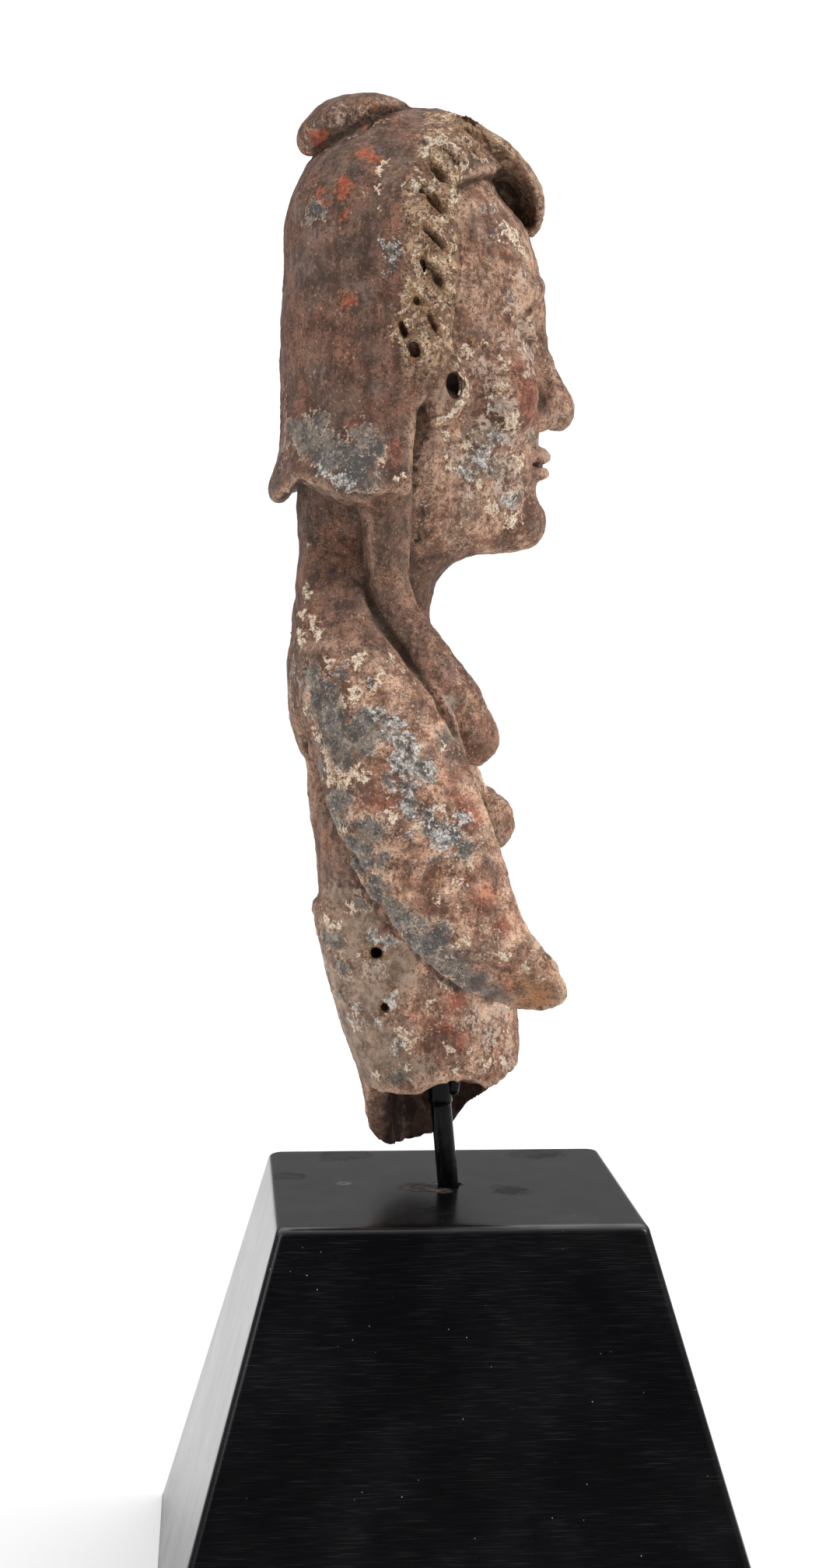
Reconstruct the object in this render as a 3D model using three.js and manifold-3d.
// A hand-modelled clay figurine of a woman, hollow below the chest, broken off at the waist and at
// both forearms. It rests on a slim black rod that leans in a tapered block of lacquered wood.
//
// Millimetres, +Z up. The origin is the middle of the block's underside. The woman faces -Y, so
// her right side is at -X.
import * as THREE from "three";
import { mergeVertices } from "three/addons/utils/BufferGeometryUtils.js";
import Module from "manifold-3d";

const wasm = await Module();
wasm.setup();

// The stand.
const BLOCK_BOTTOM = 90; // side of the square underside
const BLOCK_TOP = 54; // side of the square top
const BLOCK_HEIGHT = 63.5;
const BLOCK_EDGE = 1.4; // radius worn onto the edges
const ROD_RADIUS = 1.6;
const ROD_LEAN = 1.5 / 15.8; // how far the rod goes back for each millimetre up
const SOCKET_DEPTH = 12;
const SLEEVE_RADIUS = 1.85; // thicker coating where the rod is inside the clay
const SLEEVE_FROM = 76.5;
const PRONG_RADIUS = 1; // a second, thinner wire brazed to the front of the sleeve
const PRONG = [
  [0, -0.5, 77.6],
  [0, -0.9, 82],
  [0, 0.6, 96],
];
const GAP = 0.3; // clearance kept between pieces that touch

// The figurine as a whole.
const CROWN = 227.4;
const CHIN = 162;
const WALL = 3.2; // thickness of the clay round the hollow trunk
const HOLLOW_TOP = 119;
const DOME = 14; // height over which the hollow closes
const DOME_INSET = 10; // how far its wall has come in at the top

// The face follows the usual canon: eyes at half the height of the head, brow, nose and chin at
// equal steps, and the mouth a third of the way from nose to chin.
const HEAD_HEIGHT = CROWN - CHIN;
const EYE_Z = CHIN + HEAD_HEIGHT / 2;
const BROW_Z = EYE_Z + HEAD_HEIGHT * 0.07;
const NOSE_Z = (BROW_Z + CHIN) / 2;
const MOUTH_Z = NOSE_Z - (NOSE_Z - CHIN) / 3;
const FACE_Y = -13; // the plane of brow and cheeks
const EYE = { x: 6.9, half: [3.7, 1.5, 2], pupil: 0.85 };

// A form that stands upright is given by its sections from the bottom up: height, front, back,
// half width, and the share by which it is narrower at the front.
const TRUNK = [
  { z: 60, front: -10, back: 9.4, side: 14.4, narrow: 0 },
  { z: 70.5, front: -10.4, back: 11.4, side: 14.8, narrow: 0 },
  { z: 79, front: -10.6, back: 13.8, side: 15, narrow: 0 },
  { z: 88.5, front: -10.5, back: 16.7, side: 15, narrow: 0 },
  { z: 100.5, front: -9.8, back: 19.8, side: 14.6, narrow: 0 },
  { z: 111, front: -8, back: 21.6, side: 15.4, narrow: 0 },
  { z: 121, front: -6.3, back: 22.2, side: 17.6, narrow: 0.05 },
  { z: 130, front: -3.6, back: 23.4, side: 20.2, narrow: 0.1 },
  { z: 137, front: -1, back: 25.2, side: 21.4, narrow: 0.14 },
  { z: 142.5, front: 1.2, back: 25.5, side: 19, narrow: 0.14 },
  { z: 147, front: 2.8, back: 24.8, side: 14.2, narrow: 0.1 },
  { z: 151.5, front: 3.3, back: 24.1, side: 10.8, narrow: 0.05 },
  { z: 156, front: 2.4, back: 24, side: 9.8, narrow: 0 },
  { z: 160.5, front: -1, back: 23.6, side: 9.8, narrow: 0 },
  { z: 165, front: -4, back: 23.8, side: 10.6, narrow: 0 },
  { z: 172, front: -5, back: 23.5, side: 12, narrow: 0 },
];
const HEAD = [
  { z: CHIN - 1.2, front: -6, back: 10, side: 5, narrow: 0.4 },
  { z: CHIN - 0.4, front: -10, back: 16, side: 8.6, narrow: 0.4 },
  { z: CHIN + 1.4, front: -12.2, back: 19, side: 11.6, narrow: 0.4 },
  { z: 167, front: -12.4, back: 21.5, side: 14.6, narrow: 0.38 },
  { z: MOUTH_Z, front: -12.8, back: 22.5, side: 16.4, narrow: 0.3 },
  { z: NOSE_Z, front: -12.8, back: 23, side: 17.2, narrow: 0.22 },
  { z: 189, front: -12.6, back: 23, side: 17.8, narrow: 0.14 },
  { z: EYE_Z, front: -12.2, back: 23, side: 18, narrow: 0.1 },
  { z: BROW_Z, front: FACE_Y, back: 23, side: 18, narrow: 0.08 },
  { z: 204, front: -12.2, back: 22.5, side: 17.6, narrow: 0.08 },
  { z: 208, front: -10.8, back: 22, side: 17, narrow: 0.08 },
  { z: 212, front: -8.4, back: 21, side: 16.2, narrow: 0.08 },
  { z: 217, front: -4.6, back: 18, side: 13.6, narrow: 0.08 },
  { z: 222, front: 0, back: 13, side: 8.4, narrow: 0 },
];
const HAIR = [
  { z: 168.9, front: 2, back: 25, side: 18.6, narrow: 0 },
  { z: 169.9, front: 0, back: 26.9, side: 20.6, narrow: 0 },
  { z: 172, front: -2, back: 27.7, side: 21.4, narrow: 0 },
  { z: 176.4, front: -6, back: 26.5, side: 20.4, narrow: 0 },
  { z: 181, front: -10, back: 25.9, side: 19.9, narrow: 0 },
  { z: 193, front: -13, back: 26.4, side: 20.3, narrow: 0 },
  { z: 204, front: -12, back: 25.7, side: 20.3, narrow: 0 },
  { z: 211, front: -10.6, back: 25.2, side: 18.9, narrow: 0 },
  { z: 217.6, front: -8, back: 22.6, side: 15.7, narrow: 0.05 },
  { z: 222, front: -5.2, back: 18.6, side: 11.4, narrow: 0.1 },
  { z: 225.4, front: -2.2, back: 13.6, side: 7, narrow: 0.1 },
  { z: CROWN, front: 2.4, back: 7.2, side: 1.6, narrow: 0 },
];
const SQUARENESS = 2.3; // exponent of the sections, where 2 is an ellipse

// The hairline from the chin side up to the crown, as [y, z]. Hair in front of it is cut away.
const HAIRLINE = [
  [7.8, 160],
  [7.8, 171.7],
  [7.4, 180.4],
  [2.6, 186.5],
  [1.4, 193.5],
  [1.6, 212.4],
  [-2.5, 216],
  [-6.5, 217],
];

// A roll or strip of clay is given by stations on its middle line, on her left side: place, half
// width across the line, and half thickness.
const ARM = [
  { at: [8, 13.6, 151], wide: 7, thick: 4 },
  { at: [14.6, 13, 145], wide: 9.6, thick: 5.6 },
  { at: [20, 10.8, 134], wide: 11.4, thick: 6.4 },
  { at: [24.5, 7.6, 122], wide: 10.6, thick: 6.3 },
  { at: [27.6, 3, 112], wide: 8.9, thick: 5.7 },
  { at: [28.6, -2.6, 104.6], wide: 7, thick: 5 },
  { at: [28, -8.2, 100.1], wide: 5, thick: 4.2 },
  { at: [26.8, -13.4, 97.9], wide: 3.2, thick: 3 },
];
const STUMP = { at: [33, -9, 98], normal: [0.76, -0.4, -0.5] }; // flat fracture at the arm's end
const LOCK = [
  { at: [13.4, 11.4, 174], wide: 3.7, thick: 3 },
  { at: [12.4, 11.1, 166], wide: 3.7, thick: 3 },
  { at: [11.6, 10.7, 158], wide: 3.2, thick: 2.9 },
  { at: [12, 9, 152], wide: 3.1, thick: 2.9 },
  { at: [13.2, 5.8, 146.2], wide: 3.1, thick: 3 },
  { at: [13.2, 1.5, 141], wide: 3.2, thick: 3.1 },
  { at: [12.4, -1.2, 136], wide: 3.7, thick: 3.6 },
  { at: [11.8, -2.1, 131.8], wide: 3.8, thick: 3.6 },
  { at: [11.6, -2, 128.6], wide: 2.9, thick: 3 },
];
const PLAIT = [
  { at: [18.9, 6.4, 184], wide: 4.6, thick: 1.9 },
  { at: [19.8, 6.4, 193], wide: 5, thick: 2.1 },
  { at: [19.8, 6.3, 203], wide: 5.1, thick: 2.1 },
  { at: [17.8, 6, 212], wide: 5.1, thick: 2.1 },
  { at: [13.4, 3.8, 219], wide: 4.8, thick: 2 },
  { at: [7, 0.4, 223.6], wide: 4.3, thick: 1.8 },
  { at: [-2, -1.4, 224.9], wide: 4.2, thick: 1.6 },
];
const FRINGE = [
  { at: [0, 2, 224.4], wide: 7.6, thick: 1.7 },
  { at: [0.4, -3, 222.9], wide: 8.6, thick: 1.8 },
  { at: [1, -6.6, 220.4], wide: 9.4, thick: 1.8 },
  { at: [1.6, -9.5, 217.6], wide: 9.6, thick: 1.9 },
  { at: [2.2, -11.3, 214.6], wide: 8.6, thick: 2 },
  { at: [2.8, -11.7, 211.6], wide: 6.4, thick: 2 },
  { at: [3, -11.3, 209.6], wide: 4, thick: 1.8 },
];
const NOSE = [
  { at: [0, -11.6, BROW_Z + 1.4], wide: 1.6, thick: 1.5 },
  { at: [0, -12.8, 192], wide: 2.2, thick: 1.9 },
  { at: [0, -14.4, 186.4], wide: 3, thick: 2.4 },
  { at: [0, -15.6, NOSE_Z + 2.2], wide: 3.3, thick: 3.1 },
  { at: [0, -14, NOSE_Z - 0.6], wide: 2.4, thick: 2.8 },
];
const LIP = [
  { at: [4.9, -11.6, 0], wide: 0.6, thick: 0.7 },
  { at: [2.4, -13, 0.3], wide: 1.2, thick: 1.3 },
  { at: [0, -13.4, 0], wide: 1.3, thick: 1.5 },
  { at: [-2.4, -13, 0.3], wide: 1.2, thick: 1.3 },
  { at: [-4.9, -11.6, 0], wide: 0.6, thick: 0.7 },
];
const BUN = { at: [0, 16.3, 224.8], half: [7.6, 7.8, 3.6], tilt: -0.46 };
const BREAST = { at: [8.6, -5.3, 120.6], half: [4.8, 3.5, 4.6] };
const EAR = { at: [18, 0.9, 184.2], half: [1.7, 2.2, 4.6], hole: [1.6, 0.95, 1.7] };

// Slanting cuts down the plait on her left, each from one end to the other.
const GASHES = [
  [[7.4, 0.2, 225.7], [9.4, -3.6, 222.6]],
  [[10.5, 1.8, 223.9], [12.2, -2.2, 220.8]],
  [[20.4, 6.4, 212.4], [20.8, 3, 209]],
  [[21.5, 5.7, 206.8], [21.5, 3.1, 204]],
  [[21.5, 6.2, 202.4], [21.5, 4.8, 199.2]],
  [[21.5, 5.4, 195], [21.4, 3.7, 191.8]],
  [[20.9, 9.7, 194.2], [21.2, 7, 188.8]],
];
const GASH_RADIUS = 0.9;
const VENTS = [
  [11.7, 101.4],
  [10.5, 92.9],
]; // y and z of two round holes poked through her right side
const VENT_RADIUS = 0.8;

const { lerp: mix, clamp, smoothstep } = THREE.MathUtils;

// Height of the broken lower edge at a place. Her right side broke off higher than her left, and
// on her left the edge climbs towards the front and the back.
const brokenEdge = (x, y) => {
  const right = 80.4 - 0.13 * y;
  const left = 69.2 + 1.6 * clamp(-0.4 - y, 0, 6) + 0.5 * Math.max(0, y - 8);
  const ragged = 0.35 * Math.sin(0.9 * y + 0.5 * x) + 0.35 * Math.sin(1.7 * x - 0.6 * y);
  return mix(right, left, smoothstep(x, -9, 8)) + ragged;
};

const V = (x, y, z) => new THREE.Vector3(x, y, z);
const power = (value, exponent) => Math.sign(value) * Math.abs(value) ** exponent;
const steps = (count) => Array.from({ length: count + 1 }, (_, i) => i / count);

// A smooth curve through [place, value] knots that never swings past them.
function through(knots) {
  const rise = knots.slice(1).map(([x, y], i) => (y - knots[i][1]) / (x - knots[i][0]));
  const slope = knots.map((_, i) => {
    const before = rise[Math.max(i - 1, 0)];
    const after = rise[Math.min(i, rise.length - 1)];
    return before * after <= 0 ? 0 : (2 * before * after) / (before + after);
  });
  return (at) => {
    const next = knots.findIndex(([x]) => x >= at);
    const i = clamp(next - 1, 0, knots.length - 2);
    const gap = knots[i + 1][0] - knots[i][0];
    const t = clamp((at - knots[i][0]) / gap, 0, 1);
    const bend = t * (1 - t) * gap * ((1 - t) * slope[i] - t * slope[i + 1]);
    return mix(knots[i][1], knots[i + 1][1], t * t * (3 - 2 * t)) + bend;
  };
}

// A closed solid from rings of points: each ring is joined to the next, and the ends are closed.
function loft(rings) {
  const count = rings[0].length;
  const points = rings.flat();
  const faces = [];
  rings.slice(1).forEach((_, r) => {
    for (let i = 0; i < count; i++) {
      const a = r * count + i;
      const b = r * count + ((i + 1) % count);
      faces.push(a, b, b + count, a, b + count, a + count);
    }
  });
  for (const ring of [0, rings.length - 1]) {
    const middle = rings[ring].reduce((sum, p) => sum.add(p), V(0, 0, 0)).divideScalar(count);
    points.push(middle);
    for (let i = 0; i < count; i++) {
      const edge = [ring * count + i, ring * count + ((i + 1) % count)];
      if (ring === 0) edge.reverse();
      faces.push(points.length - 1, ...edge);
    }
  }
  return new THREE.BufferGeometry().setFromPoints(points).setIndex(faces);
}

// A geometry as a solid for joining and cutting, with its faces pointing out.
function solid(geometry) {
  geometry.deleteAttribute("normal");
  geometry.deleteAttribute("uv");
  const merged = mergeVertices(geometry, 1e-4);
  const position = merged.attributes.position;
  const triVerts = new Uint32Array(merged.index.array);
  let volume = 0;
  for (let i = 0; i < triVerts.length; i += 3) {
    const [a, b, c] = [0, 1, 2].map((k) => V().fromBufferAttribute(position, triVerts[i + k]));
    volume += a.dot(b.cross(c));
  }
  if (volume < 0) triVerts.reverse();
  const mesh = new wasm.Mesh({ numProp: 3, vertProperties: position.array, triVerts });
  return new wasm.Manifold(mesh);
}

// A joined solid as a named mesh in its own material.
function piece(name, made, color, roughness, metalness) {
  const { vertProperties, triVerts } = made.getMesh();
  const geometry = new THREE.BufferGeometry()
    .setAttribute("position", new THREE.BufferAttribute(vertProperties, 3))
    .setIndex(new THREE.BufferAttribute(triVerts, 1));
  geometry.computeVertexNormals();
  const material = new THREE.MeshStandardMaterial({ color, roughness, metalness });
  const mesh = new THREE.Mesh(geometry, material);
  mesh.name = name;
  return mesh;
}

// An upright form from its sections, with its outline moved in or out by offset(z).
function upright(sections, ringCount, sideCount, offset = () => 0, top = sections.at(-1).z) {
  const column = (key) => through(sections.map((s) => [s.z, s[key]]));
  const [front, back, side, narrow] = ["front", "back", "side", "narrow"].map(column);
  const rings = steps(ringCount).map((share) => {
    const z = mix(sections[0].z, top, share);
    const depth = (back(z) - front(z)) / 2 + offset(z);
    return steps(sideCount).slice(1).map((turn) => {
      const angle = turn * 2 * Math.PI;
      const ahead = power(Math.cos(angle), 2 / SQUARENESS);
      const aside = power(Math.sin(angle), 2 / SQUARENESS);
      const width = (side(z) + offset(z)) * (1 - (narrow(z) * (1 + ahead)) / 2);
      return V(width * aside, (front(z) + back(z)) / 2 - depth * ahead, z);
    });
  });
  return solid(loft(rings));
}

// A roll or strip of clay with round ends. Its thickness points as outward(place) does, as nearly
// as the line allows, and its width lies across the line.
function roll(stations, ringCount, sideCount, outward = () => V(1, 0, 0)) {
  const places = stations.map((s) => V(...s.at));
  const line = new THREE.CatmullRomCurve3(places, false, "centripetal");
  const column = (key) => through(stations.map((s, i) => [i / (stations.length - 1), s[key]]));
  const [wide, thick] = ["wide", "thick"].map(column);
  const rings = steps(ringCount).map((share) => {
    const t = (1 - Math.cos(share * Math.PI)) / 2;
    const place = line.getPoint(t);
    const along = line.getTangent(t);
    const thin = outward(place);
    thin.addScaledVector(along, -thin.dot(along)).normalize();
    const broad = along.clone().cross(thin);
    const fromEnd = Math.min(t, 1 - t) * line.getLength();
    const left = Math.max(1 - fromEnd / wide(t), 0);
    const round = Math.sqrt(1 - 0.94 * left * left);
    return steps(sideCount).slice(1).map((turn) =>
      place
        .clone()
        .addScaledVector(broad, wide(t) * round * Math.cos(turn * 2 * Math.PI))
        .addScaledVector(thin, thick(t) * round * Math.sin(turn * 2 * Math.PI)),
    );
  });
  return solid(loft(rings));
}

// An egg of clay, leaning back by tilt.
function pellet([x, y, z], [a, b, c], tilt = 0, sides = 16) {
  const egg = new THREE.SphereGeometry(1, sides, Math.round(sides * 0.6));
  return solid(egg.scale(a, b, c).rotateX(tilt).translate(x, y, z));
}

// A round bar from one point to another.
function bar(from, to, radius, sides = 20) {
  const along = V(...to).sub(V(...from));
  const turn = new THREE.Quaternion().setFromUnitVectors(V(0, 1, 0), along.clone().normalize());
  const middle = V(...from).addScaledVector(along, 0.5);
  const cylinder = new THREE.CylinderGeometry(radius, radius, along.length(), sides);
  return solid(cylinder.applyQuaternion(turn).translate(...middle));
}

const join = (solids) => solids.reduce((sum, next) => sum.add(next));
const onSide = (sign, place) => [sign * place[0], place[1], place[2]];
const stationsOn = (sign, stations) => stations.map((s) => ({ ...s, at: onSide(sign, s.at) }));
const bothSides = (make) => join([-1, 1].map(make));

// The point at height z on the rod's middle line.
const onRod = (z) => [0, (z - BLOCK_HEIGHT) * ROD_LEAN, z];

function block() {
  const rounded = (half, z) =>
    [0, 1, 2, 3].flatMap((corner) =>
      steps(4).map((share) => {
        const angle = ((corner + share) * Math.PI) / 2;
        const start = ((corner + 0.5) * Math.PI) / 2;
        const reach = (half - BLOCK_EDGE) * Math.SQRT2;
        return V(
          reach * Math.cos(start) + BLOCK_EDGE * Math.cos(angle),
          reach * Math.sin(start) + BLOCK_EDGE * Math.sin(angle),
          z,
        );
      }),
    );
  const half = (z) => mix(BLOCK_BOTTOM, BLOCK_TOP, z / BLOCK_HEIGHT) / 2;
  const softEdge = steps(3).map((share) => (share * Math.PI) / 2);
  const rings = [
    rounded(half(0) - BLOCK_EDGE / 2, 0),
    rounded(half(BLOCK_EDGE / 2), BLOCK_EDGE / 2),
    ...softEdge.map((angle) => {
      const z = BLOCK_HEIGHT - BLOCK_EDGE * (1 - Math.sin(angle));
      return rounded(half(z) - BLOCK_EDGE * (1 - Math.cos(angle)) * 0.8, z);
    }),
  ];
  const socket = bar(onRod(BLOCK_HEIGHT - SOCKET_DEPTH), onRod(BLOCK_HEIGHT + 5), ROD_RADIUS + GAP);
  return solid(loft(rings)).subtract(socket);
}

function rod() {
  const top = onRod(HOLLOW_TOP - GAP);
  const foot = onRod(BLOCK_HEIGHT - SOCKET_DEPTH + GAP);
  const wire = PRONG.slice(1).map((to, i) => bar(PRONG[i], to, PRONG_RADIUS, 12));
  return join([bar(foot, top, ROD_RADIUS), bar(onRod(SLEEVE_FROM), top, SLEEVE_RADIUS), ...wire]);
}

// Everything in front of the hairline, as a plate cut to its shape and laid across the head.
function faceOpening() {
  const outline = new THREE.Shape();
  outline.moveTo(-40, HAIRLINE[0][1]);
  HAIRLINE.forEach(([y, z]) => outline.lineTo(y, z));
  outline.lineTo(-40, HAIRLINE.at(-1)[1]);
  const plate = new THREE.ExtrudeGeometry(outline, { depth: 80, bevelEnabled: false });
  return solid(plate.rotateX(Math.PI / 2).rotateZ(Math.PI / 2).translate(-40, 0, 0));
}

// All that lies below the broken edge.
function missingBody() {
  const [size, height, cells] = [60, 50, 18];
  const box = new THREE.BoxGeometry(size, size, height, cells, cells, 1);
  const position = box.attributes.position;
  for (let i = 0; i < position.count; i++) {
    const [x, y, z] = [position.getX(i), position.getY(i), position.getZ(i)];
    position.setZ(i, z > 0 ? brokenEdge(x, y) : 40);
  }
  return solid(box);
}

function hair() {
  const awayFromAxis = (p) => V(p.x, 0.25 * (p.y - 6), Math.max(p.z - 206, 0) * 1.4);
  const plaits = bothSides((sign) => roll(stationsOn(sign, PLAIT), 16, 10, awayFromAxis));
  const cap = upright(HAIR, 22, 30).subtract(faceOpening());
  const fringe = roll(FRINGE, 14, 14, (p) => V(0, -1, 0.2 * (p.z - 209)));
  const bun = pellet(BUN.at, BUN.half, BUN.tilt, 16);
  const locks = bothSides((sign) => roll(stationsOn(sign, LOCK), 18, 10));
  return join([cap, plaits, fringe, bun, locks]);
}

function gashes() {
  const cut = (sign, ends) => bar(...ends.map((end) => onSide(sign, end)), GASH_RADIUS, 8);
  return bothSides((sign) => join(GASHES.map((ends) => cut(sign, ends))));
}

function face() {
  const nose = roll(NOSE, 12, 10);
  const lip = (lift) => LIP.map((s) => ({ ...s, at: [s.at[0], s.at[1], MOUTH_Z + lift] }));
  const lips = join([1.05, -1.25].map((lift) => roll(lip(lift), 8, 8, () => V(0, -1, 0))));
  const eyes = bothSides((sign) => pellet([sign * EYE.x, FACE_Y + 1.6, EYE_Z], EYE.half, 0, 12));
  return join([nose, lips, eyes]);
}

function figurine() {
  const fracture = (sign) => {
    const plate = new THREE.BoxGeometry(30, 30, 12).translate(0, 0, 6);
    const normal = V(...onSide(sign, STUMP.normal)).normalize();
    plate.applyQuaternion(new THREE.Quaternion().setFromUnitVectors(V(0, 0, 1), normal));
    return solid(plate.translate(...onSide(sign, STUMP.at)));
  };
  const arms = bothSides((sign) =>
    roll(stationsOn(sign, ARM), 16, 14).subtract(fracture(sign)),
  );
  const breasts = bothSides((sign) => pellet(onSide(sign, BREAST.at), BREAST.half));
  const ears = bothSides((sign) => pellet(onSide(sign, EAR.at), EAR.half, 0, 12));
  const closing = (z) => Math.max(0, (z - HOLLOW_TOP + DOME) / DOME);
  const thinner = (z) => -WALL - DOME_INSET * closing(z) ** 2.4;
  const hollow = upright(TRUNK, 14, 20, thinner, HOLLOW_TOP);
  const seat = bar(onRod(HOLLOW_TOP - DOME), onRod(HOLLOW_TOP), SLEEVE_RADIUS + GAP);
  const vents = VENTS.map(([y, z]) => bar([-20, y, z], [-6, y, z], VENT_RADIUS, 10));
  const pupils = bothSides((sign) =>
    bar([sign * EYE.x, -16, EYE_Z], [sign * EYE.x, -11, EYE_Z], EYE.pupil, 10),
  );
  const earHoles = bothSides((sign) => {
    const [x, y, z] = onSide(sign, EAR.at);
    return pellet([x + sign * 1.9, y, z], EAR.hole, 0, 10);
  });
  return join([upright(TRUNK, 24, 26), upright(HEAD, 18, 26), hair(), face(), arms, breasts, ears])
    .subtract(join([hollow, seat, missingBody(), gashes(), pupils, earHoles, ...vents]));
}

const model = new THREE.Group();
model.add(
  piece("figurine", figurine(), 0x7d6455, 0.92, 0),
  piece("rod", rod(), 0x0c0c0d, 0.25, 0.4),
  piece("base", block(), 0x111113, 0.32, 0),
);
export default model;
